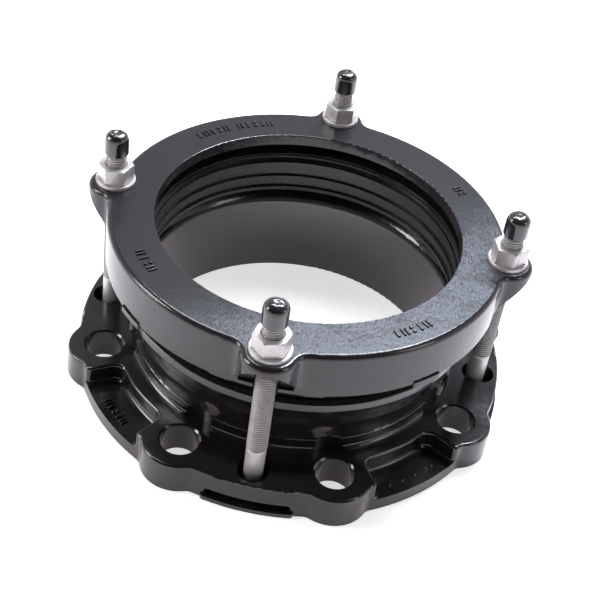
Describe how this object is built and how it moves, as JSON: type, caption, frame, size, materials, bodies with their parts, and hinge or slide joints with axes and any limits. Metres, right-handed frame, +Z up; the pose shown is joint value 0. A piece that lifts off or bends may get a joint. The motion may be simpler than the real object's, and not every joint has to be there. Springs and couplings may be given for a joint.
{
  "type": "flange adaptor",
  "caption": "Flange adaptor that grips a plain pipe end in a ribbed rubber gasket, squeezed by a studded end ring, and bolts to a drilled pipe flange.",
  "frame": {"origin": "centre of the flange's mating face, which is the underside of the whole part", "axes": "+Z runs up the pipe's axis from the flange to the pipe socket; the studs stand on the X and Y axes, and the bolt holes lie evenly between them; -Y is the front"},
  "size_m": [0.2736, 0.2736, 0.1474],
  "materials": {
    "casting": "glossy black coating on a ductile iron casting, with slight orange peel",
    "rubber": "satin green-black moulded rubber",
    "fasteners": "matt pale grey coated steel",
    "plates": "dark coated steel",
    "caps": "glossy black soft plastic"
  },
  "bodies": {
    "base": {"flange_body": "casting", "gasket": "rubber", "stud_front": "fasteners", "anchor_plate_front": "plates", "stud_right": "fasteners", "anchor_plate_right": "plates", "stud_rear": "fasteners", "anchor_plate_rear": "plates", "stud_left": "fasteners", "anchor_plate_left": "plates"},
    "ring": {"end_ring": "casting", "washer_front": "fasteners", "washer_right": "fasteners", "washer_rear": "fasteners", "washer_left": "fasteners"},
    "nut_front": {"nut_front": "fasteners"},
    "cap_front": {"cap_front": "caps"},
    "nut_right": {"nut_right": "fasteners"},
    "cap_right": {"cap_right": "caps"},
    "nut_rear": {"nut_rear": "fasteners"},
    "cap_rear": {"cap_rear": "caps"},
    "nut_left": {"nut_left": "fasteners"},
    "cap_left": {"cap_left": "caps"}
  },
  "joints": [
    {"name": "ring_slide", "type": "slide", "parent": "base", "child": "ring", "axis": [0, 0, 1], "range_m": [-0.01, 0.005], "deforming": ["gasket"]},
    {"name": "nut_front_spin", "type": "hinge", "parent": "ring", "child": "nut_front", "pos_m": [0, -0.12, 0.1184], "axis": [0, 0, 1], "range_deg": [-2060, 1030]},
    {"name": "cap_front_pull", "type": "slide", "parent": "base", "child": "cap_front", "axis": [0, 0, 1], "range_m": [0, 0.025]},
    {"name": "nut_right_spin", "type": "hinge", "parent": "ring", "child": "nut_right", "pos_m": [0.12, 0, 0.1184], "axis": [0, 0, 1], "range_deg": [-2060, 1030]},
    {"name": "cap_right_pull", "type": "slide", "parent": "base", "child": "cap_right", "axis": [0, 0, 1], "range_m": [0, 0.025]},
    {"name": "nut_rear_spin", "type": "hinge", "parent": "ring", "child": "nut_rear", "pos_m": [0, 0.12, 0.1184], "axis": [0, 0, 1], "range_deg": [-2060, 1030]},
    {"name": "cap_rear_pull", "type": "slide", "parent": "base", "child": "cap_rear", "axis": [0, 0, 1], "range_m": [0, 0.025]},
    {"name": "nut_left_spin", "type": "hinge", "parent": "ring", "child": "nut_left", "pos_m": [-0.12, 0, 0.1184], "axis": [0, 0, 1], "range_deg": [-2060, 1030]},
    {"name": "cap_left_pull", "type": "slide", "parent": "base", "child": "cap_left", "axis": [0, 0, 1], "range_m": [0, 0.025]}
  ],
  "couplings": [
    {"joint": "nut_front_spin", "follows": "ring_slide", "rad_per_m": 3590.4},
    {"joint": "nut_right_spin", "follows": "ring_slide", "rad_per_m": 3590.4},
    {"joint": "nut_rear_spin", "follows": "ring_slide", "rad_per_m": 3590.4},
    {"joint": "nut_left_spin", "follows": "ring_slide", "rad_per_m": 3590.4}
  ]
}
